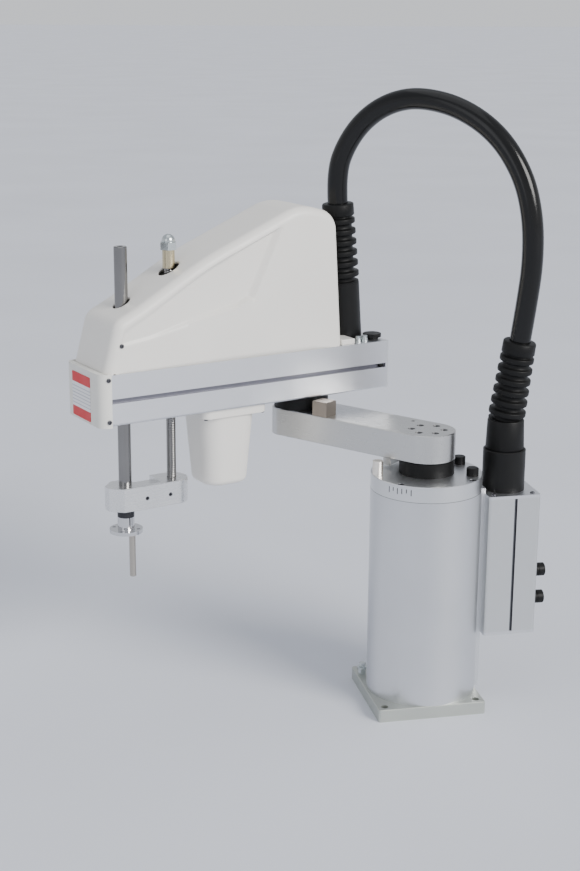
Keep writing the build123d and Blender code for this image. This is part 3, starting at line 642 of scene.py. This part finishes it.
def boot_profile(length):
    """A smooth foot, rounded ribs that get slimmer upwards, and a collar."""
    low = length - BOOT_COLLAR - BOOT_RIBS * BOOT_PITCH
    profile = [(0.01, 0), (22.0, 0), (22.0, low)]
    for k in range(BOOT_RIBS):
        z = low + BOOT_PITCH * k
        rib = 23.0 - 2.0 * k / (BOOT_RIBS - 1)
        shape = [(17.0, 0.04), (16.6, 0.20), (16.8, 0.36), (17.6, 0.42), (rib - 0.9, 0.46)]
        shape += [(rib - 0.2, 0.50), (rib, 0.56), (rib, 0.84), (rib - 0.2, 0.90)]
        shape += [(rib - 0.9, 0.94), (17.6, 0.98)]
        profile += [(r, z + BOOT_PITCH * t) for r, t in shape]
    top = length - BOOT_COLLAR
    profile += [(17.0, top + 0.3), (16.8, top + 1.6), (19.0, top + 2.2), (20.5, top + 3.6)]
    profile += [(20.2, length - 1.4), (19.4, length - 0.3), (18.4, length), (0.01, length)]
    return profile


def foot_below(end, beside, height):
    """Where the hose's line, run on straight past its end, comes down to a height."""
    run = Vector(beside) - Vector(end)
    return Vector(end) - run * ((end[2] - height) / run.z)


def base_boot():
    """The ribbed boot on the connector box, and the plain sleeve under it."""
    top = Vector(HOSE_ROUTE[0])
    foot = foot_below(HOSE_ROUTE[0], HOSE_ROUTE[1], BOOT_FOOT_Z)
    place = axis_place(foot, top - foot)
    mesh = turned(boot_profile((top - foot).length), place)
    ribbed = new_piece("base_boot", mesh, BASE, MATERIALS["rubber"], 50.0)
    low, high = 325.2, 362.4
    profile = [(0.01, low), (23.6, low), (24.0, low + 0.8), (22.6, high - 1.4), (22.0, high)]
    mesh = turned(profile + [(0.01, high)], Matrix.Translation((foot.x, foot.y, 0)))
    sleeve = new_piece("base_boot_sleeve", mesh, BASE, MATERIALS["rubber"], 50.0)
    for piece in (ribbed, sleeve):
        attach(piece, "base")
    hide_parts("base_gland_boot")


def arm_boot():
    """The ribbed boot on the second arm."""
    top = Vector(HOSE_ROUTE[-1])
    foot = foot_below(HOSE_ROUTE[-1], HOSE_ROUTE[-2], RAIL_HIGH)
    length = BOOT_COLLAR + BOOT_RIBS * BOOT_PITCH + 2.0
    run = (top - foot).normalized()
    mesh = turned(boot_profile(length), axis_place(top - run * length, run))
    boot = new_piece("arm_boot", mesh, BASE, MATERIALS["rubber"], 50.0)
    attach(boot, "arm_2")
    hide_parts("arm_gland_boot")


def route_points(name, points):
    """The points of the route's own smooth line, from a NURBS curve with no bevel."""
    data = bpy.data.curves.new(name, "CURVE")
    data.dimensions = "3D"
    data.resolution_u = 24
    spline = data.splines.new("NURBS")
    spline.points.add(len(points) - 1)
    for spot, p in zip(spline.points, points):
        spot.co = (p[0] * MM, p[1] * MM, p[2] * MM, 1)
    spline.order_u = 3
    spline.use_endpoint_u = True
    curve = bpy.data.objects.new(name, data)
    bpy.context.scene.collection.objects.link(curve)
    found = [v.co.copy() for v in applied(curve).vertices]
    bpy.data.objects.remove(curve)
    return found


def hose_mesh(path, steps=40):
    """A round tube that doesn't twist along its path."""
    rows = []
    side = None
    for k, point in enumerate(path):
        before, after = path[max(k - 1, 0)], path[min(k + 1, len(path) - 1)]
        ahead = (after - before).normalized()
        side = ahead.orthogonal() if side is None else side - ahead * side.dot(ahead)
        side.normalize()
        other = ahead.cross(side)
        ring = []
        for s in range(steps):
            a = 2 * math.pi * s / steps
            spoke = side * math.cos(a) + other * math.sin(a)
            ring.append((point + spoke * HOSE_R * MM) / MM)
        rows.append(ring)
    return capped(rows)


def hose():
    """The hose in two halves that meet at the top."""
    lower, upper = HOSE_ROUTE[: HOSE_SPLIT + 1], HOSE_ROUTE[HOSE_SPLIT + 1 :]
    middle = tuple((a + b) / 2 for a, b in zip(lower[-1], upper[0]))
    halves = [
        ("hose_base_half", "hose_lower", lower + [middle], "base", "arm_1", 0),
        ("hose_arm_half", "hose_upper", [middle] + upper, "arm_1", "arm_2", -1),
    ]
    for name, node, points, before, after, exit_end in halves:
        path = route_points(name + "_route", points)
        piece = new_piece(name, hose_mesh(path), BASE, MATERIALS["hose"], 60.0)
        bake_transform(piece)
        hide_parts(node)


# ---------------------------------------------------------------- ball screw


def ball_screw():
    """A four-start rolled screw: rounded grooves with flat lands between them."""
    low, high, radius, lead, starts = 260.0, 549.0, 6.0, 12.0, 4
    groove_depth, groove_share = 0.6, 0.7
    steps, row_height = 32, 0.6
    count = int((high - low) / row_height)
    rows = []
    for k in range(count + 1):
        z = low + (high - low) * k / count
        ring = []
        for s in range(steps):
            a = 2 * math.pi * s / steps
            phase = starts * (z / lead - a / (2 * math.pi)) % 1.0
            groove = math.sin(math.pi * phase / groove_share) if phase < groove_share else 0.0
            r = radius - groove_depth * groove
            ring.append((SCREW_U + r * math.cos(a), r * math.sin(a), z))
        rows.append(ring)
    screw = new_piece("ball_screw_thread", capped(rows), ARM_2, MATERIALS["shaft"], 70.0)
    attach(screw, "z_axis")
    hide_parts("ball_screw")


# ---------------------------------------------------------------- small marks


def box_mesh(x0, x1, y0, y1, z0, z1):
    """A plain box between its limits."""
    mesh = bmesh.new()
    bmesh.ops.create_cube(mesh, size=1.0)
    grow = Matrix.Diagonal((x1 - x0, y1 - y0, z1 - z0, 1))
    middle = ((x0 + x1) / 2, (y0 + y1) / 2, (z0 + z1) / 2)
    mesh.transform(Matrix.Translation(middle) @ grow)
    return mesh


def cap_ticks():
    """Dark scale marks let into the column cap's rim, in uneven lengths."""
    first_angle, pitch, half_width, top = 213, 5, 0.8, 296.0
    for k, low in enumerate((288, 291, 288, 289, 291, 288)):
        place = Matrix.Rotation(math.radians(first_angle + pitch * k), 4, "Z")
        mesh = box_mesh(66.0, 69.08, -half_width, half_width, low, top)
        bmesh.ops.bevel(mesh, geom=list(mesh.edges), offset=0.3, segments=2, affect="EDGES")
        tick = new_piece(f"cap_tick_{k + 1}", mesh, place, MATERIALS["plastic"])
        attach(tick, "base")


def slot_end_shade_piece():
    """A small dark oval piece in the rear end of the rail's side slot: painted shade, standing for
    the shadow in the slot's open end.
    """
    shade_u, half_length, half_height, steps = -93.0, 3.6, 2.3, 32
    face = [(0.02, 47.45), (0.75, 47.4), (0.95, 47.2), (1.0, 46.8), (1.0, 44.2), (0.02, 44.2)]
    rows = []
    for size, v in face:
        ring = []
        for k in range(steps):
            a = 2 * math.pi * k / steps
            u = shade_u + half_length * size * math.cos(a)
            ring.append((u, v, SLOT_Z + half_height * size * math.sin(a)))
        rows.append(ring)
    mesh, _ = grid(rows, closed=True)
    shade_piece = new_piece("slot_end_shade_piece", mesh, ARM_2, MATERIALS["plastic"])
    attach(shade_piece, "arm_2")


# ---------------------------------------------------------------- stage, light and camera


def stage():
    """A plain pale floor, wide enough to reach the horizon."""
    mesh = bmesh.new()
    bmesh.ops.create_grid(mesh, x_segments=8, y_segments=8, size=60.0)
    data = bpy.data.meshes.new("floor")
    mesh.to_mesh(data)
    mesh.free()
    floor = bpy.data.objects.new("floor", data)
    bpy.context.scene.collection.objects.link(floor)
    m = Nodes("pale_cloth", (0.72, 0.74, 0.80), 0.0, 0.85)
    m.vary_color(m.noise(1.6), 0.03)
    data.materials.append(m.material)


def light(name, place, target, size, power, color):
    """A rectangular lamp that faces its target."""
    data = bpy.data.lights.new(name, "AREA")
    data.shape = "RECTANGLE"
    data.size, data.size_y = size
    data.energy = power
    data.color = color
    lamp = bpy.data.objects.new(name, data)
    lamp.location = place
    lamp.rotation_euler = (Vector(target) - Vector(place)).to_track_quat("-Z", "Y").to_euler()
    bpy.context.scene.collection.objects.link(lamp)


def sun_light(direction):
    """The key light: a broad sun, so that shadows are soft and every view is lit."""
    sun = bpy.data.lights.new("key", "SUN")
    sun.energy = 3.3
    sun.angle = 0.55
    sun.color = (1.0, 0.985, 0.96)
    key = bpy.data.objects.new("key", sun)
    key.rotation_euler = Vector(direction).to_track_quat("-Z", "Y").to_euler()
    bpy.context.scene.collection.objects.link(key)


def studio_world():
    """An even pale surround, brighter at the horizon than overhead."""
    world = bpy.data.worlds.new("studio")
    world.use_nodes = True
    tree = world.node_tree
    split = tree.nodes.new("ShaderNodeSeparateXYZ")
    tree.links.new(tree.nodes.new("ShaderNodeTexCoord").outputs["Generated"], split.inputs[0])
    ramp = tree.nodes.new("ShaderNodeValToRGB")
    ramp.color_ramp.elements[0].position = 0.10
    ramp.color_ramp.elements[0].color = (0.80, 0.82, 0.86, 1)
    ramp.color_ramp.elements[1].position = 0.45
    ramp.color_ramp.elements[1].color = (0.56, 0.585, 0.64, 1)
    tree.links.new(split.outputs["Z"], ramp.inputs[0])
    tree.links.new(ramp.outputs[0], tree.nodes["Background"].inputs["Color"])
    bpy.context.scene.world = world


def lights():
    """The sun from the camera's right, two weak lamps and the surround."""
    sun_light((-1.6, 2.0, -1.35))
    light("fill", (-1.7, -1.3, 1.2), (-0.1, 0, 0.3), (0.9, 1.4), 4, (0.94, 0.96, 1.0))
    light("top", (-0.2, 0.1, 2.3), (0, 0, 0.2), (2.0, 1.4), 6, (0.96, 0.98, 1.0))
    studio_world()


def camera():
    """The main view, from its place, its direction and its lens."""
    place = (-0.554613, -1.778784, 0.857134)
    yaw, pitch, roll = 0.211365, 0.269383, 0.00709838
    ahead = Vector(
        (math.sin(yaw) * math.cos(pitch), math.cos(yaw) * math.cos(pitch), -math.sin(pitch))
    )
    right = Vector((math.cos(yaw), -math.sin(yaw), 0))
    up = right.cross(ahead)
    x = right * math.cos(roll) + up * math.sin(roll)
    y = up * math.cos(roll) - right * math.sin(roll)
    turn = Matrix((x, y, -ahead)).transposed().to_4x4()
    data = bpy.data.cameras.new("camera")
    data.lens = 64.75
    data.sensor_width = 36.0
    view = bpy.data.objects.new("camera", data)
    view.matrix_world = Matrix.Translation(place) @ turn
    bpy.context.scene.collection.objects.link(view)
    bpy.context.scene.camera = view


top_cover()
cover_lip()
motor_cover()
base_boot()
arm_boot()
hose()
ball_screw()
cap_ticks()
slot_end_shade_piece()
stage()
lights()
camera()

bpy.context.view_layer.update()
